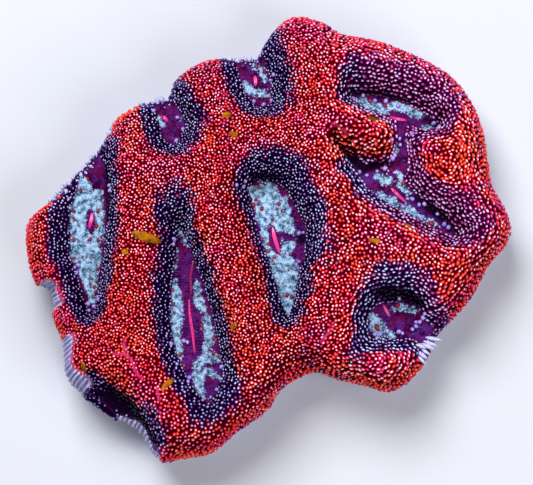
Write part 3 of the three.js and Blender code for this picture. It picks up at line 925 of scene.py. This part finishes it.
class Finishes:
    """The coral's materials, made once and shared."""

    def __init__(self, colours):
        self.colours = colours
        self.mottle = mottle_group()
        self.flesh_tint = flesh_tint_group(self.mottle)
        self.fine_skin = fine_skin_group()
        self.bone_tint = bone_tint_group(self.mottle)

    def start(self, name, **settings):
        """A new material with its Principled BSDF."""
        material = bpy.data.materials.new(name)
        material.use_nodes = True
        shader = material.node_tree.nodes["Principled BSDF"]
        for socket, value in settings.items():
            shader.inputs[socket.replace("_", " ")].default_value = value
        return material, Tree(material.node_tree), shader

    def tinted(self, tree, position, crest, warm, rose, wall, wall_warm):
        """The Flesh Tint group placed with the mesh's own zones."""
        colours = self.colours
        tints = {
            "Crest": crest, "Warm": warm, "Rose": rose, "Wall": wall, "Warm Wall": wall_warm,
            "Pale Floor": colours.floor_pale, "Deep Floor": colours.floor_deep,
            "Wine": colours.wine, "Violet": colours.violet, "Algae": colours.algae,
            "Crease": colours.crease, "Rim": colours.rim,
        }
        inputs = {"Position": position, **{zone: tree.value(zone.lower()) for zone in ZONES}}
        inputs.update({name + " Colour": (*tint, 1) for name, tint in tints.items()})
        return tree.group(self.flesh_tint, inputs)

    def bone(self, tree, position):
        """The Skeleton Tint group's colour."""
        colours = self.colours
        inputs = {
            "Position": position, "Pale Colour": (*colours.skeleton, 1),
            "Deep Colour": (*colours.skeleton_deep, 1),
        }
        return tree.group(self.bone_tint, inputs)["Colour"]

    def bump(self, tree, shader, position, scale, strength, distance):
        """Fine skin as a bump on a shader."""
        skin = tree.group(self.fine_skin, {"Position": position, "Scale": scale})
        bump = tree.add(
            "ShaderNodeBump",
            {"Height": skin["Height"], "Strength": strength, "Distance": distance},
        )
        tree.link(bump.outputs["Normal"], shader.inputs["Normal"])

    def colony(self):
        """Flesh between the grains, darkened as painted shade, and the skeleton where it is bare."""
        colours = self.colours
        material, tree, shader = self.start("coral_body", Specular_IOR_Level=0.0)
        position = tree.position()
        # The gap colours paint the shade that falls between the grains.
        gap = colours.crest_gap_shade
        flesh = self.tinted(
            tree, position, gap, gap, gap, colours.wall_gap_shade, colours.wall_gap_warm_shade)
        bare = tree.ramp(tree.value("bare"), 0.35, 0.65)
        colour = tree.mix(bare, flesh["Colour"], self.bone(tree, position))
        tree.link(colour, shader.inputs["Base Color"])
        tree.link(tree.ramp(bare, 0.0, 1.0, 0.5, 0.8), shader.inputs["Roughness"])
        self.bump(tree, shader, position, 2600.0, 0.6, 0.1 * MM)
        return material

    def grains(self):
        """Grains of the flesh with their pale tips, partly their own colour and partly a painted highlight.
        """
        colours = self.colours
        material, tree, shader = self.start("coral_grain", Specular_IOR_Level=0.15)
        position = tree.position()
        skin = self.tinted(
            tree, position, colours.crest, colours.crest_warm, colours.crest_rose, colours.wall,
            colours.wall_warm)
        tone = tree.value("tone")
        # The pale tips are partly the grains' own colour and partly a painted highlight.
        tip = tree.mix(skin["Lit Right Share"], colours.wall_tip_and_highlight, colours.wall_tip_warm)
        tip = tree.mix(skin["Crest Share"], tip, colours.crest_tip_and_highlight)
        tip = tree.mix(tree.value("floor"), tip, colours.floor_pale)
        on_wall = tree.math("SUBTRACT", 1.0, skin["Crest Share"])
        size = tree.math("ADD", tree.math("MULTIPLY", tone, 0.11), tree.math("MULTIPLY", on_wall, 0.03))
        tip_share = tree.ramp(tree.math("ADD", tree.value("tip"), size), 0.80, 0.92)
        worn = tree.math("SUBTRACT", 1.0, tree.mottled(self.mottle, position, "worn tips"))
        worn = tree.math("MULTIPLY", tree.math("MULTIPLY", worn, 0.5), skin["Crest Share"])
        kept = tree.ramp(tree.math("SUBTRACT", tone, worn), -0.5, -0.1, 0.25, 1.0)
        # The tips dim as painted shadow in the dark strips; they are also weaker on the floors and towards
        # the lower left.
        lit = tree.ramp(tree.value("dark"), 0.0, 0.65, 1.0, 0.06)
        lit = tree.math("MULTIPLY", lit, tree.ramp(tree.value("floor"), 0.0, 1.0, 1.0, 0.6))
        place = tree.add("ShaderNodeSeparateXYZ", {"Vector": position}).outputs
        across = tree.math("ADD", place["X"], place["Y"])
        lit = tree.math("MULTIPLY", lit, tree.ramp(across, *LOWER_LEFT, 0.7, 1.0))
        tip_share = tree.math("MULTIPLY", tree.math("MULTIPLY", tip_share, kept), lit)
        colour = tree.mix(tip_share, skin["Colour"], tip)
        tree.link(colour, shader.inputs["Base Color"])
        tree.link(tree.ramp(tone, -0.5, 0.5, 0.25, 0.40), shader.inputs["Roughness"])
        return material

    def mouth(self):
        """Pink lips, deeper in colour at their foot and in the slit."""
        colours = self.colours
        material, tree, shader = self.start("mouth_flesh", Specular_IOR_Level=0.6)
        position = tree.position()
        dull = tree.mix(tree.value("pink"), colours.wine, colours.mouth)
        lips = tree.mix(tree.value("lip"), colours.wine, dull)
        tree.link(lips, shader.inputs["Base Color"])
        tree.link(
            tree.ramp(tree.noise(position, 900.0), 0.3, 0.7, 0.22, 0.36), shader.inputs["Roughness"])
        return material

    def beads(self):
        """Pale lilac tentacle tips."""
        colours = self.colours
        material, tree, shader = self.start("bead_flesh", Specular_IOR_Level=0.6)
        position = tree.position()
        share = tree.ramp(tree.noise(position, 700.0), 0.35, 0.65)
        colour = tree.mix(tree.math("MULTIPLY", share, 0.4), colours.bead, colours.wall_tip_warm)
        colour = tree.mix(tree.ramp(tree.value("tip"), 0.5, 0.2), colour, colours.wine)
        tree.link(colour, shader.inputs["Base Color"])
        tree.link(tree.ramp(share, 0.0, 1.0, 0.24, 0.34), shader.inputs["Roughness"])
        return material

    def skeleton(self):
        """Ribs and broken septa."""
        material, tree, shader = self.start("coral_skeleton", Specular_IOR_Level=0.3)
        position = tree.position()
        tree.link(self.bone(tree, position), shader.inputs["Base Color"])
        tree.link(
            tree.ramp(tree.noise(position, 1500.0), 0.3, 0.7, 0.6, 0.85), shader.inputs["Roughness"])
        self.bump(tree, shader, position, 3400.0, 0.5, 0.08 * MM)
        return material


# ---------------------------------------------------------------------------
# Pieces
# ---------------------------------------------------------------------------

def centred(form, x, y, z):
    """Plan points and heights as mesh points, over the middle of the colony's box."""
    return np.stack([x - form.centre[0], y - form.centre[1], z], axis=-1)


def colony_mesh(shape):
    """A closed mesh for the colony: a square grid on top, rings down the sides and one flat base.
    Gives the mesh and, for each vertex, how far down the side it is, from 0 to 1."""
    bm = bmesh.new()
    bmesh.ops.create_grid(bm, x_segments=shape.cells, y_segments=shape.cells, size=1.0)
    depth = bm.verts.layers.float.new("depth")
    edges = [edge for edge in bm.edges if edge.is_boundary]
    for ring in range(1, shape.rings + 1):
        made = bmesh.ops.extrude_edge_only(bm, edges=edges)["geom"]
        for vert in made:
            if isinstance(vert, bmesh.types.BMVert):
                vert[depth] = ring / shape.rings
        edges = [e for e in made if isinstance(e, bmesh.types.BMEdge) and e.is_boundary]
    base = bmesh.ops.contextual_create(bm, geom=edges)["faces"]
    for face in bm.faces:
        face.smooth = face not in base
    for edge in edges:
        edge.smooth = False
    bmesh.ops.recalc_face_normals(bm, faces=bm.faces)
    depths = np.array([vert[depth] for vert in bm.verts])
    bm.verts.layers.float.remove(depth)
    mesh = bpy.data.meshes.new("coral_body")
    bm.to_mesh(mesh)
    bm.free()
    return mesh, depths


def build_colony(form, material):
    """The whole colony as one closed mesh: flesh on top, skeleton foot and flat cut below."""
    shape = form.shape
    mesh, depths = colony_mesh(shape)
    grid = get_points(mesh)
    disc_x = grid[:, 0] * np.sqrt(1 - grid[:, 1] ** 2 / 2)
    disc_y = grid[:, 1] * np.sqrt(1 - grid[:, 0] ** 2 / 2)
    inside = np.minimum(np.hypot(disc_x, disc_y), 1)
    angle = np.arctan2(disc_y, disc_x)
    radius = form.rim_radius(angle)
    on_side = depths > 0
    side_height = shape.edge_height * (1 - depths)
    reach = inside * radius
    relief = form.relief(reach * np.cos(angle), reach * np.sin(angle))
    surface = np.where(on_side, side_height - shape.edge_height, relief["inset"])
    edge = form.flesh_edge(angle)
    bare = 1 - smooth_step(-FLESH_EDGE, FLESH_EDGE, surface - edge)
    height = np.where(on_side, side_height, relief["height"] - 0.8 * shape.flesh_step * bare)
    drawn_in = np.where(on_side, form.side_inset(side_height), 0)
    near_rim = smooth_step(5 * MM, 1 * MM, relief["inset"])
    drawn_in = drawn_in + shape.flesh_step * bare * near_rim
    reach = reach - drawn_in
    x, y = reach * np.cos(angle), reach * np.sin(angle)
    zone = zones(relief, x, y)
    smooth_spots = np.maximum(ALGAE_RISE * zone["algae"], CREASE_RISE * zone["crease"])
    set_points(mesh, centred(form, x, y, height + np.where(on_side, 0, smooth_spots)))
    for name in ("floor", "pale", "algae", "crease"):
        zone[name] = np.where(on_side, 0, zone[name])
    rim = 1 - smooth_step(*RIM_BAND, np.abs(surface - edge))
    set_values(mesh, bare=bare, rim=rim, **zone)
    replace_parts(new_object("coral_body", mesh, material), NODE)


def dome_grain(bm):
    """A grain one unit in radius and height, flat underneath."""
    bmesh.ops.create_uvsphere(bm, u_segments=6, v_segments=4, radius=1.0)
    below = [vert for vert in bm.verts if vert.co.z < -0.1]
    bmesh.ops.delete(bm, geom=below, context="VERTS")
    bmesh.ops.contextual_create(bm, geom=[edge for edge in bm.edges if edge.is_boundary])


def grain_mesh(name, grains, places, normals, zone, sizes, stretch, rng):
    """One mesh of grains: sizes scales each one, stretch makes it long across the slope."""
    points, faces = prototype(dome_grain)
    count = len(places)
    rough = rng.uniform(0.8, 1.2, count) * sizes
    width = grains.radius * rough
    height = grains.height * rough * (1 - 0.6 * zone["floor"]) * (1 - 0.7 * zone["dark"])
    scales = np.stack([width * stretch, width, height], axis=1)
    axes = upright_frames(normals, rng.normal(0, 0.35, count))
    turned = np.einsum("nki,nij->nkj", points[None] * scales[:, None, :], axes)
    mesh = joined_copies(name, faces, turned + (places - GRAIN_SINK * normals)[:, None, :])
    per_copy = len(points)
    values = {key: np.repeat(value, per_copy) for key, value in zone.items()}
    tone = np.repeat(rng.uniform(-0.5, 0.5, count), per_copy)
    set_values(mesh, tip=np.tile(points[:, 2], count), tone=tone, **values)
    return mesh


def local_spacing(grains, x, y):
    """Least distance between grains: wider on the right and at the bottom."""
    share = np.maximum(smooth_step(5 * MM, 18 * MM, x), smooth_step(-20 * MM, -32 * MM, y))
    return grains.spacing + (grains.wide_spacing - grains.spacing) * share


def top_places(form, grains, rng):
    """Plan points for the grains of the upper surface, in rows along the walls."""
    low, high = OUTLINE.min(axis=0), OUTLINE.max(axis=0)
    x, y = (rng.uniform(low[i], high[i], TOP_TRIES) for i in (0, 1))
    relief = form.relief(x, y)
    distance = relief["distance"]
    row = (np.floor(distance / grains.row_pitch) + 0.5) * grains.row_pitch
    wander = rng.normal(0, ROW_WANDER, TOP_TRIES)
    strength = 0.15 + 0.35 * smooth_step(5 * MM, 15 * MM, x)
    hold = np.where(distance > 0, strength * (1 - smooth_step(0.5, 0.9, relief["wall"])), 0)
    shift = (row - distance + wander) * hold
    x = x + shift * np.cos(relief["away"])
    y = y + shift * np.sin(relief["away"])
    relief = form.relief(x, y)
    zone = zones(relief, x, y)
    edge = np.maximum(form.flesh_edge(relief["angle"]), TOP_INSET)
    keep = (relief["inset"] > edge) & (zone["algae"] < 0.4) & (zone["crease"] < 0.6)
    keep &= (zone["floor"] < 0.5) | (zone["pale"] > rng.uniform(0.2, 0.8, TOP_TRIES))
    x, y = x[keep], y[keep]
    spacings = local_spacing(grains, x, y)
    chosen = spread_out(np.stack([x, y, 0 * x], axis=1), spacings)
    return x[chosen], y[chosen]


def side_places(form, grains, rng):
    """Angles and rises for the grains of the outer side, down to where the flesh ends."""
    angle = np.interp(rng.uniform(0, form.lengths[-1], SIDE_TRIES), form.lengths, form.angles)
    lowest = form.flesh_edge(angle)
    lowest = np.where(lowest > 0, form.rise_at(angle, lowest), lowest) + 0.2 * MM
    highest = form.rise_at(angle, TOP_INSET)
    rise = lowest + (highest - lowest) * rng.uniform(0, 1, SIDE_TRIES)
    tallest = 15 * MM
    keep = (rng.uniform(0, 1, SIDE_TRIES) < (highest - lowest) / tallest) & (lowest < highest)
    angle, rise = angle[keep], rise[keep]
    chosen = spread_out(form.side_surface(angle, rise), np.full(len(angle), grains.side_spacing))
    return angle[chosen], rise[chosen]


def build_top_grains(form, grains, material):
    """The grains of crests, walls and floors, and the floors' larger dark specks."""
    rng = np.random.default_rng(grains.seed)
    x, y = top_places(form, grains, rng)
    relief = form.relief(x, y)
    zone = zones(relief, x, y)
    zone["crest"] = np.clip(zone["crest"] + rng.normal(0, 0.16, len(x)), 0, 1)
    zone["rim"] = 0 * x
    on_floor, on_crest = zone["floor"] > 0.5, zone["crest"] > 0.5
    places, slope = centred(form, x, y, relief["height"]), form.normal(x, y)
    normals = slope + np.array([0, 0, 0.8])
    normals /= np.linalg.norm(normals, axis=1, keepdims=True)
    on_right = smooth_step(5 * MM, 15 * MM, x) * smooth_step(0.98, 0.85, slope[:, 2])
    stretch = 1 + 0.45 * on_right + rng.uniform(0, 0.4, len(x))
    specks = on_floor & (rng.uniform(0, 1, len(x)) < SPECK_SHARE)
    sizes = local_spacing(grains, x, y) / grains.spacing * np.where(specks, SPECK_SIZE, 1)
    zone["floor"] = np.where(specks, 0, zone["floor"])
    zone["crest"] = np.where(specks, 0.55, zone["crest"])
    zone["dark"] = np.where(specks, 0.62, zone["dark"])
    kinds = {
        "crest_grains": on_crest & ~on_floor,
        "wall_grains": ~on_crest & ~on_floor,
        "floor_grains": on_floor,
    }
    for name, share in kinds.items():
        part = {key: value[share] for key, value in zone.items()}
        mesh = grain_mesh(
            name, grains, places[share], normals[share], part, sizes[share], stretch[share], rng)
        new_object(name, mesh, material)


def build_side_grains(form, grains, material):
    """The grains round the outside, red at the top and mixed with plum ones further down."""
    rng = np.random.default_rng(grains.seed + 1)
    angle, rise = side_places(form, grains, rng)
    places, normals = form.side_surface(angle, rise), form.side_normal(angle, rise)
    reach = form.rim_radius(angle) - 1.5 * MM
    x, y = reach * np.cos(angle), reach * np.sin(angle)
    zone = zones(form.relief(x, y), x, y)
    for name in ("floor", "pale", "algae", "crease", "dark"):
        zone[name] = 0 * x
    share = zone["crest"] * smooth_step(-6 * MM, 3 * MM, rise + rng.normal(0, MM, len(x)))
    share = np.maximum(share, 0.6 * zone["crest"])
    zone["crest"] = (share > rng.uniform(0, 1, len(x))).astype(float)
    zone["rim"] = 0 * x
    mesh = grain_mesh(
        "side_grains", grains, places, normals, zone, np.full(len(x), SIDE_GRAIN_SIZE),
        rng.uniform(1, 1.4, len(x)), rng)
    new_object("side_grains", mesh, material)


def lens(bm):
    """A smooth closed lens one unit long and wide each way."""
    bmesh.ops.create_uvsphere(bm, u_segments=14, v_segments=12, radius=1.0)
    bmesh.ops.rotate(bm, matrix=Matrix.Rotation(math.pi / 2, 3, "Y"), verts=bm.verts)


def build_mouths(form, material):
    """Each mouth as a raised slit with two lips, laid along its path."""
    points, faces = prototype(lens)
    groove = np.exp(-((points[:, 1] / SLIT_WIDTH) ** 2)) * np.maximum(points[:, 2], 0)
    copies, lips, pinks = [], [], []
    for mouth in MOUTHS:
        path = np.array(mouth.path) * MM
        steps = np.concatenate([[0], np.cumsum(np.linalg.norm(np.diff(path, axis=0), axis=1))])
        along = (points[:, 0] + 1) / 2 * steps[-1]
        x, y = (np.interp(along, steps, path[:, i]) for i in (0, 1))
        run = path[-1] - path[0]
        side = np.array([-run[1], run[0]]) / np.linalg.norm(run)
        out = points[:, 1] * mouth.half_width * MM
        x, y = x + side[0] * out, y + side[1] * out
        height = form.height(x, y) + LIP_HEIGHT * points[:, 2] - SLIT_DEPTH * groove
        copies.append(centred(form, x, y, height))
        lips.append(smooth_step(0.0, 0.5, points[:, 2]) * (1 - 0.7 * groove))
        pinks.append(np.full(len(points), mouth.pink))
    mesh = joined_copies("mouths", faces, np.array(copies))
    set_values(mesh, lip=np.concatenate(lips), pink=np.concatenate(pinks))
    new_object("mouths", mesh, material)


def bead(bm):
    """A round bead one unit in radius."""
    bmesh.ops.create_icosphere(bm, subdivisions=2, radius=1.0)


def build_beads(form, material, rng):
    """The swollen tentacle tips, standing on the walls' feet."""
    points, faces = prototype(bead)
    x, y = (np.array(BEADS) * MM).T
    count = len(x)
    wide = rng.uniform(*BEAD_RADII, count)
    scales = np.stack([wide, wide * rng.uniform(1, 1.3, count), wide * 1.2], axis=1)
    axes = upright_frames(form.normal(x, y) + np.array([0, 0, 1.0]), rng.uniform(0, TURN, count))
    turned = np.einsum("nki,nij->nkj", points[None] * scales[:, None, :], axes)
    places = centred(form, x, y, form.height(x, y) + BEAD_LIFT)
    mesh = joined_copies("beads", faces, turned + places[:, None, :])
    set_values(mesh, tip=np.tile(points[:, 2] * 0.5 + 0.5, count))
    new_object("beads", mesh, material)


def blade(bm):
    """A thin closed blade one unit long, cut into short lengths."""
    bmesh.ops.create_cube(bm, size=1.0)
    long_edges = [e for e in bm.edges if abs(e.verts[0].co.x - e.verts[1].co.x) > 0.5]
    bmesh.ops.subdivide_edges(bm, edges=long_edges, cuts=11)
    bmesh.ops.translate(bm, vec=(0.5, 0, 0.5), verts=bm.verts)


def build_ribs(form, material, rng):
    """The skeleton's ribs, running up the bare sides to the flesh."""
    points, faces = prototype(blade)
    places = np.arange(0, form.lengths[-1] - form.lengths[0], RIB_GAP)
    places = places + rng.uniform(-0.2, 0.2, len(places)) * MM
    angle = np.interp(places + form.lengths[0], form.lengths, form.angles)
    top = form.flesh_edge(angle)
    top = np.where(top > 0, form.rise_at(angle, top), top + 0.3 * MM)
    foot = -form.shape.edge_height + 0.05 * MM
    rise = foot + (top - foot)[:, None] * points[None, :, 0]
    around = np.broadcast_to(angle[:, None], rise.shape)
    base, normal = form.side_surface(around, rise), form.side_normal(around, rise)
    aside = np.stack([np.sin(angle), -np.cos(angle), 0 * angle], axis=-1)[:, None, :]
    wide = rng.uniform(*RIB_HALF_WIDTHS, len(angle))[:, None, None]
    teeth = 0.1 * np.sin(points[:, 0] * 34) + rng.uniform(-0.25, 0.1, (len(angle), 1))
    lift = RIB_ROOT + (RIB_CREST - RIB_ROOT + teeth * MM) * points[None, :, 2]
    placed = base + normal * lift[..., None] + aside * wide * 2 * points[None, :, 1:2]
    placed[..., 2] = np.maximum(placed[..., 2], 0.02 * MM)
    mesh = joined_copies("skeleton_ribs", faces, placed)
    new_object("skeleton_ribs", mesh, material)


def spike(bm):
    """A rounded tooth one unit long, pointing along +X."""
    bmesh.ops.create_uvsphere(bm, u_segments=8, v_segments=8, radius=1.0)
    bmesh.ops.rotate(bm, matrix=Matrix.Rotation(math.pi / 2, 3, "Y"), verts=bm.verts)
    for vert in bm.verts:
        narrow = 1 - 0.35 * max(vert.co.x, 0)
        vert.co = ((vert.co.x + 1) / 2, vert.co.y * narrow, vert.co.z * narrow)


def build_teeth(form, material, rng):
    """Torn septa and knobs along the margins where the flesh has come away."""
    points, faces = prototype(spike)
    teeth = [(*base, *tip, wide, 1.5) for base, tip, wide in TORN_TEETH]
    for row in KNOB_ROWS:
        for share in np.linspace(0, 1, row.count):
            start, end = np.array(row.start), np.array(row.end)
            x, y = start + (end - start) * share + rng.uniform(-0.25, 0.25, 2)
            turn = math.radians(row.turn) + rng.normal(0, 0.3)
            length = row.length * rng.uniform(0.6, 1.3)
            wide = row.half_width * rng.uniform(0.7, 1.2)
            teeth.append((x, y, x + length * math.cos(turn), y + length * math.sin(turn), wide, 1.0))
    copies = []
    for x, y, end_x, end_y, wide, tall in teeth:
        ahead = np.array([end_x - x, end_y - y, rng.uniform(-0.1, 0.3)])
        side = np.array([y - end_y, end_x - x, 0]) / math.hypot(end_x - x, end_y - y)
        turned = points[:, :1] * ahead + points[:, 1:2] * side * wide
        turned[:, 2] += points[:, 2] * wide * tall
        place_x, place_y = np.array([x * MM]), np.array([y * MM])
        height = form.height(place_x, place_y) - 0.1 * MM
        copies.append(turned * MM + centred(form, place_x, place_y, height))
    mesh = joined_copies("skeleton_teeth", faces, np.array(copies))
    new_object("skeleton_teeth", mesh, material)


# ---------------------------------------------------------------------------
# Stage
# ---------------------------------------------------------------------------

def add_floor(stage):
    """The floor that the coral stands on."""
    bm = bmesh.new()
    bmesh.ops.create_grid(bm, x_segments=1, y_segments=1, size=FLOOR_REACH)
    mesh = bpy.data.meshes.new("floor")
    bm.to_mesh(mesh)
    bm.free()
    floor = bpy.data.objects.new("floor", mesh)
    material = bpy.data.materials.new("floor_paint")
    material.use_nodes = True
    shader = material.node_tree.nodes["Principled BSDF"]
    shader.inputs["Base Color"].default_value = (*stage.floor, 1)
    shader.inputs["Roughness"].default_value = 0.8
    mesh.materials.append(material)
    bpy.context.scene.collection.objects.link(floor)


def add_surroundings(stage):
    """Even light from all sides."""
    world = bpy.data.worlds.new("surroundings")
    world.use_nodes = True
    background = world.node_tree.nodes["Background"]
    background.inputs["Color"].default_value = (0.9, 0.93, 1.0, 1)
    background.inputs["Strength"].default_value = stage.world_strength
    bpy.context.scene.world = world


def add_light(name, place, size, power, target):
    """A square soft light, turned to its target."""
    lamp = bpy.data.lights.new(name, "AREA")
    lamp.energy = power
    lamp.size = size
    light = bpy.data.objects.new(name, lamp)
    light.location = place
    light.rotation_euler = (target - Vector(place)).to_track_quat("-Z", "Y").to_euler()
    bpy.context.scene.collection.objects.link(light)


def add_camera(stage, target):
    """The camera, nearly straight above, with +Y at the top of its view."""
    camera_data = bpy.data.cameras.new("camera")
    camera_data.lens = stage.lens
    camera_data.clip_start = 10 * MM
    camera = bpy.data.objects.new("camera", camera_data)
    camera.location = target + Vector((stage.aside, -stage.towards, stage.distance))
    ahead = (target - camera.location).normalized()
    right = ahead.cross(Vector((0, 1, 0))).normalized()
    camera.rotation_euler = Matrix((right, right.cross(ahead), -ahead)).transposed().to_euler()
    bpy.context.scene.collection.objects.link(camera)
    bpy.context.scene.camera = camera


# ---------------------------------------------------------------------------
# Operators
# ---------------------------------------------------------------------------

def settings():
    """The scene's coral settings."""
    return bpy.context.scene.coral


class CoralSettings(bpy.types.PropertyGroup):
    """All of the coral's settings."""

    shape: PointerProperty(type=CoralShape)
    grains: PointerProperty(type=CoralGrains)
    colours: PointerProperty(type=CoralColours)
    stage: PointerProperty(type=CoralStage)


FINISHES = {}


def finish(name):
    """One of the coral's materials, made when first asked for."""
    if not FINISHES:
        FINISHES["all"] = Finishes(settings().colours)
    if name not in FINISHES:
        FINISHES[name] = getattr(FINISHES["all"], name)()
    return FINISHES[name]


class CORAL_OT_colony(bpy.types.Operator):
    """Build the colony's flesh and skeleton as one closed body"""

    bl_idname = "coral.colony"
    bl_label = "Colony"

    def execute(self, context):
        build_colony(Form(settings().shape), finish("colony"))
        return {"FINISHED"}


class CORAL_OT_top_grains(bpy.types.Operator):
    """Cover crests, walls and floors with grains"""

    bl_idname = "coral.top_grains"
    bl_label = "Top Grains"

    def execute(self, context):
        build_top_grains(Form(settings().shape), settings().grains, finish("grains"))
        return {"FINISHED"}


class CORAL_OT_side_grains(bpy.types.Operator):
    """Cover the flesh of the outer sides with grains"""

    bl_idname = "coral.side_grains"
    bl_label = "Side Grains"

    def execute(self, context):
        build_side_grains(Form(settings().shape), settings().grains, finish("grains"))
        return {"FINISHED"}


class CORAL_OT_mouths(bpy.types.Operator):
    """Lay the mouths in the valleys"""

    bl_idname = "coral.mouths"
    bl_label = "Mouths"

    def execute(self, context):
        build_mouths(Form(settings().shape), finish("mouth"))
        return {"FINISHED"}


class CORAL_OT_beads(bpy.types.Operator):
    """Set tentacle tips along the feet of the walls"""

    bl_idname = "coral.beads"
    bl_label = "Tentacle Tips"

    def execute(self, context):
        rng = np.random.default_rng(settings().grains.seed + 2)
        build_beads(Form(settings().shape), finish("beads"), rng)
        return {"FINISHED"}


class CORAL_OT_skeleton(bpy.types.Operator):
    """Add the skeleton's ribs and its broken teeth"""

    bl_idname = "coral.skeleton"
    bl_label = "Skeleton"

    def execute(self, context):
        form = Form(settings().shape)
        rng = np.random.default_rng(settings().grains.seed + 3)
        build_ribs(form, finish("skeleton"), rng)
        build_teeth(form, finish("skeleton"), rng)
        return {"FINISHED"}


class CORAL_OT_stage(bpy.types.Operator):
    """Set up the floor, the soft lights and the camera"""

    bl_idname = "coral.stage"
    bl_label = "Stage"

    def execute(self, context):
        stage = settings().stage
        context.scene.view_settings.view_transform = "Standard"
        middle = Vector((0, -MM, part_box(NODE)[1][2] / 2))
        add_floor(stage)
        add_surroundings(stage)
        add_light("key_light", (-0.12, 0.30, 0.55), 0.30, stage.key_power, middle)
        add_light("fill_light", (0.35, -0.25, 0.45), 0.40, stage.fill_power, middle)
        add_camera(stage, middle)
        return {"FINISHED"}


class CORAL_PT_panel(bpy.types.Panel):
    """Buttons and settings for the coral"""

    bl_label = "Brain Coral"
    bl_idname = "CORAL_PT_panel"
    bl_space_type = "VIEW_3D"
    bl_region_type = "UI"
    bl_category = "Coral"

    def draw(self, context):
        layout = self.layout
        for operator in OPERATORS:
            layout.operator(operator.bl_idname)
        for group in ("shape", "grains", "colours", "stage"):
            box = layout.box()
            box.label(text=group.capitalize())
            owner = getattr(settings(), group)
            for name in owner.__annotations__:
                box.prop(owner, name)


OPERATORS = (
    CORAL_OT_stage,
    CORAL_OT_colony,
    CORAL_OT_top_grains,
    CORAL_OT_side_grains,
    CORAL_OT_mouths,
    CORAL_OT_beads,
    CORAL_OT_skeleton,
)
CLASSES = (
    CoralShape, CoralGrains, CoralColours, CoralStage, CoralSettings, *OPERATORS, CORAL_PT_panel,
)


def register():
    """Registers the classes and hangs the settings on the scene."""
    for cls in CLASSES:
        bpy.utils.register_class(cls)
    bpy.types.Scene.coral = PointerProperty(type=CoralSettings)


def unregister():
    """Takes it all back."""
    del bpy.types.Scene.coral
    for cls in reversed(CLASSES):
        bpy.utils.unregister_class(cls)


def main():
    """Builds the coral and its stage."""
    register()
    bpy.ops.coral.stage()
    bpy.ops.coral.colony()
    bpy.ops.coral.top_grains()
    bpy.ops.coral.side_grains()
    bpy.ops.coral.mouths()
    bpy.ops.coral.beads()
    bpy.ops.coral.skeleton()


if __name__ == "__main__":
    main()
